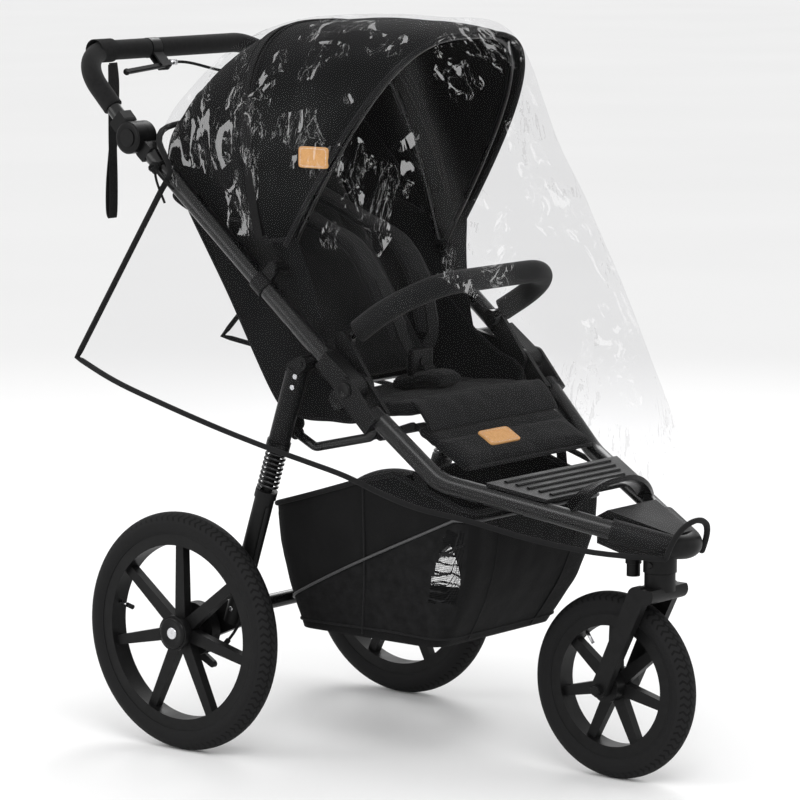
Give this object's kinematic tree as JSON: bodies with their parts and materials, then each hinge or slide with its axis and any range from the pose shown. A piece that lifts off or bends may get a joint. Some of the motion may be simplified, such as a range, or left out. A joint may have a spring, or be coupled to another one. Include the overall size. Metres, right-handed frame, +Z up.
{
  "type": "baby stroller",
  "caption": "Three-wheel folding jogging stroller with air tyres, swivelling front fork, sprung rear legs, hooded reclining seat, bumper bar, basket and clear rain cover.",
  "frame": {"origin": "centre of the overall box in plan, on the ground under the wheels", "axes": "+Z up, -Y forward (direction of travel), +X to the rider's left"},
  "size_m": [0.63, 1.174, 1.2223],
  "materials": {
    "black_tube": "satin black powder coat on aluminium tube",
    "black_plastic": "fine-textured black moulding",
    "lever_metal": "black coated steel",
    "spring_steel": "blackened spring steel",
    "tyre": "moulded air tyre with zigzag tread",
    "grip_foam": "closed-cell foam sleeve",
    "cable_sheath": "smooth cable outer",
    "black_fabric": "plain-weave polyester, piped and stitched",
    "clear_film": "clear flexible film with black bound edges"
  },
  "bodies": {
    "chassis": {"front_tube_left": "black_tube", "front_tube_right": "black_tube", "fold_castings": "black_plastic", "nose_casting": "black_plastic", "front_hoop": "black_tube", "footplate": "black_plastic", "seat_frame": "black_tube", "bumper_mounts": "black_plastic", "recline_brackets": "black_plastic", "seat_cushion": "black_fabric", "seat_sides": "black_fabric", "buckle": "black_plastic", "crotch_strap": "black_fabric", "legrest_hangers": "black_plastic", "basket": "black_fabric", "rain_cover": "clear_film"},
    "upper_frame": {"fold_arms": "black_plastic", "main_tube_left": "black_tube", "main_tube_right": "black_tube", "handle_hubs": "black_plastic", "canopy_clips": "black_plastic"},
    "canopy_pivot": {"canopy_pins": "black_plastic", "canopy_rear_cloth": "black_fabric"},
    "canopy_mid": {"canopy_mid_bow": "black_tube"},
    "canopy_front": {"canopy_front_bow": "black_tube", "canopy_front_cloth": "black_fabric"},
    "handlebar": {"handlebar": "black_tube", "handle_grips": "grip_foam", "handle_clevises": "black_plastic", "lever_clamp": "black_plastic", "brake_cable_upper": "cable_sheath", "wrist_strap": "black_fabric"},
    "tilt_button_left": {"tilt_button_left": "black_plastic"},
    "tilt_button_right": {"tilt_button_right": "black_plastic"},
    "brake_lever": {"brake_lever": "lever_metal"},
    "rear_legs": {"rear_legs": "black_plastic"},
    "rear_axle": {"lower_legs": "black_tube", "axle_castings": "black_plastic", "rear_crossbar": "black_tube", "brake_cables_lower": "cable_sheath", "suspension_springs": "spring_steel"},
    "brake_arm_left": {"brake_arm_left": "lever_metal"},
    "brake_arm_right": {"brake_arm_right": "lever_metal"},
    "parking_pedal": {"parking_pedal": "black_plastic"},
    "rear_wheel_left": {"rear_wheel_left": "black_plastic", "rear_tyre_left": "tyre"},
    "rear_wheel_right": {"rear_wheel_right": "black_plastic", "rear_tyre_right": "tyre"},
    "fork": {"fork": "black_plastic", "front_axle": "lever_metal"},
    "front_wheel": {"front_wheel": "black_plastic", "front_tyre": "tyre"},
    "swivel_knob": {"swivel_knob": "black_plastic"},
    "backrest": {"backrest_shell": "black_plastic", "backrest_pad": "black_fabric", "harness_pads": "black_fabric"},
    "legrest": {"legrest": "black_fabric"},
    "bumper": {"bumper_bar": "black_tube", "bumper_foam": "grip_foam"},
    "buckle_button": {"buckle_button": "black_plastic"}
  },
  "joints": [
    {"name": "frame_fold", "type": "hinge", "parent": "chassis", "child": "upper_frame", "pos_m": [0, -0.065, 0.628], "axis": [-1, 0, 0], "range_deg": [-130, 0], "deforming": ["rain_cover", "canopy_front_cloth", "canopy_rear_cloth", "basket", "harness_pads"]},
    {"name": "leg_swing", "type": "hinge", "parent": "chassis", "child": "rear_legs", "pos_m": [0, 0.033, 0.662], "axis": [-1, 0, 0], "range_deg": [0, 38]},
    {"name": "suspension", "type": "slide", "parent": "rear_legs", "child": "rear_axle", "axis": [0, -0.311, 0.9504], "range_m": [0, 0.022], "stiffness_N_per_m": 9000, "deforming": ["suspension_springs", "rain_cover"]},
    {"name": "canopy_level", "type": "hinge", "parent": "upper_frame", "child": "canopy_pivot", "pos_m": [0, 0.1, 0.813], "axis": [-1, 0, 0], "range_deg": [0, 130]},
    {"name": "canopy_mid_tilt", "type": "hinge", "parent": "canopy_pivot", "child": "canopy_mid", "pos_m": [0, 0.1, 0.813], "axis": [-1, 0, 0], "range_deg": [0, 15], "deforming": ["canopy_front_cloth", "canopy_rear_cloth", "rain_cover"]},
    {"name": "canopy_retract", "type": "hinge", "parent": "canopy_mid", "child": "canopy_front", "pos_m": [0, 0.1, 0.813], "axis": [-1, 0, 0], "range_deg": [0, 30], "deforming": ["canopy_front_cloth", "canopy_rear_cloth", "rain_cover"]},
    {"name": "handle_tilt", "type": "hinge", "parent": "upper_frame", "child": "handlebar", "pos_m": [0, 0.4, 1.01], "axis": [1, 0, 0], "range_deg": [0, 30], "deforming": ["rain_cover"]},
    {"name": "tilt_button_left_press", "type": "slide", "parent": "handlebar", "child": "tilt_button_left", "axis": [-1, 0, 0], "range_m": [0, 0.004], "stiffness_N_per_m": 1500},
    {"name": "tilt_button_right_press", "type": "slide", "parent": "handlebar", "child": "tilt_button_right", "axis": [1, 0, 0], "range_m": [0, 0.004], "stiffness_N_per_m": 1500},
    {"name": "lever_squeeze", "type": "hinge", "parent": "handlebar", "child": "brake_lever", "pos_m": [-0.042, 0.50682, 1.11761], "axis": [0, 0.7097, -0.7045], "range_deg": [0, 12], "stiffness_Nm_per_rad": 1.5},
    {"name": "brake_arm_left_turn", "type": "hinge", "parent": "rear_axle", "child": "brake_arm_left", "pos_m": [0.2415, 0.269, 0.16], "axis": [-1, 0, 0], "range_deg": [0, 8]},
    {"name": "brake_arm_right_turn", "type": "hinge", "parent": "rear_axle", "child": "brake_arm_right", "pos_m": [-0.2415, 0.269, 0.16], "axis": [-1, 0, 0], "range_deg": [0, 8]},
    {"name": "parking_brake", "type": "hinge", "parent": "rear_axle", "child": "parking_pedal", "pos_m": [0, 0.173, 0.241], "axis": [-1, 0, 0], "range_deg": [0, 18]},
    {"name": "rear_wheel_left_spin", "type": "hinge", "parent": "rear_axle", "child": "rear_wheel_left", "pos_m": [0.2885, 0.255, 0.2], "axis": [1, 0, 0], "continuous": true},
    {"name": "rear_wheel_right_spin", "type": "hinge", "parent": "rear_axle", "child": "rear_wheel_right", "pos_m": [-0.2885, 0.255, 0.2], "axis": [1, 0, 0], "continuous": true},
    {"name": "front_swivel", "type": "hinge", "parent": "chassis", "child": "fork", "pos_m": [0, -0.507, 0.37], "axis": [0, 0, 1], "continuous": true},
    {"name": "front_wheel_spin", "type": "hinge", "parent": "fork", "child": "front_wheel", "pos_m": [0, -0.422, 0.153], "axis": [1, 0, 0], "continuous": true},
    {"name": "swivel_lock", "type": "slide", "parent": "chassis", "child": "swivel_knob", "axis": [0, 0, -1], "range_m": [0, 0.006]},
    {"name": "backrest_recline", "type": "hinge", "parent": "chassis", "child": "backrest", "pos_m": [0, 0.095, 0.552], "axis": [-1, 0, 0], "range_deg": [0, 28], "deforming": ["rain_cover", "canopy_rear_cloth", "harness_pads"]},
    {"name": "legrest_tilt", "type": "hinge", "parent": "chassis", "child": "legrest", "pos_m": [0, -0.137, 0.566], "axis": [-1, 0, 0], "range_deg": [0, 30], "deforming": ["rain_cover"]},
    {"name": "bumper_open", "type": "hinge", "parent": "chassis", "child": "bumper", "pos_m": [0, -0.019, 0.7], "axis": [-1, 0, 0], "range_deg": [0, 55], "deforming": ["rain_cover"]},
    {"name": "buckle_press", "type": "slide", "parent": "chassis", "child": "buckle_button", "axis": [0, 1, 0], "range_m": [0, 0.003], "stiffness_N_per_m": 1200}
  ],
  "couplings": [
    {"joint": "leg_swing", "follows": "frame_fold", "ratio": -0.29231},
    {"joint": "canopy_level", "follows": "frame_fold", "ratio": -1},
    {"joint": "canopy_mid_tilt", "follows": "canopy_retract", "ratio": 0.5},
    {"joint": "brake_arm_left_turn", "follows": "lever_squeeze", "ratio": 0.66667},
    {"joint": "brake_arm_right_turn", "follows": "lever_squeeze", "ratio": 0.66667}
  ]
}
